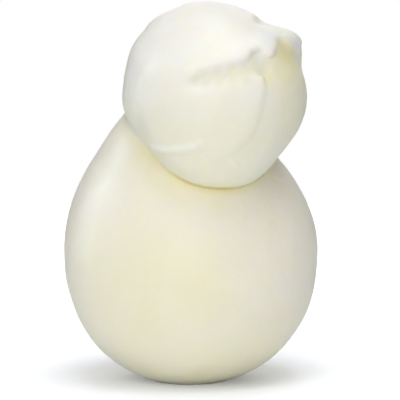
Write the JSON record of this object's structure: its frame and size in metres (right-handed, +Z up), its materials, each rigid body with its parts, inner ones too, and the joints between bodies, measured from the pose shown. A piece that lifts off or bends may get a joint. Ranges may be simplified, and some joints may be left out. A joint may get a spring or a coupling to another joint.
{
  "type": "scamorza cheese",
  "caption": "Pear-shaped fresh stretched-curd cheese, uncut and white, with the pulled top folded over to the front as a round head.",
  "frame": {"origin": "middle of the small flat spot that the cheese stands on", "axes": "+Z up through the standing cheese, +Y to its back, away from the folded head, and +X to the right as seen from the front"},
  "size_m": [0.0766, 0.0846, 0.1141],
  "materials": {
    "curd": "smooth, moist and faintly glossy"
  },
  "bodies": {
    "root": {"scamorza": "curd"}
  },
  "joints": []
}
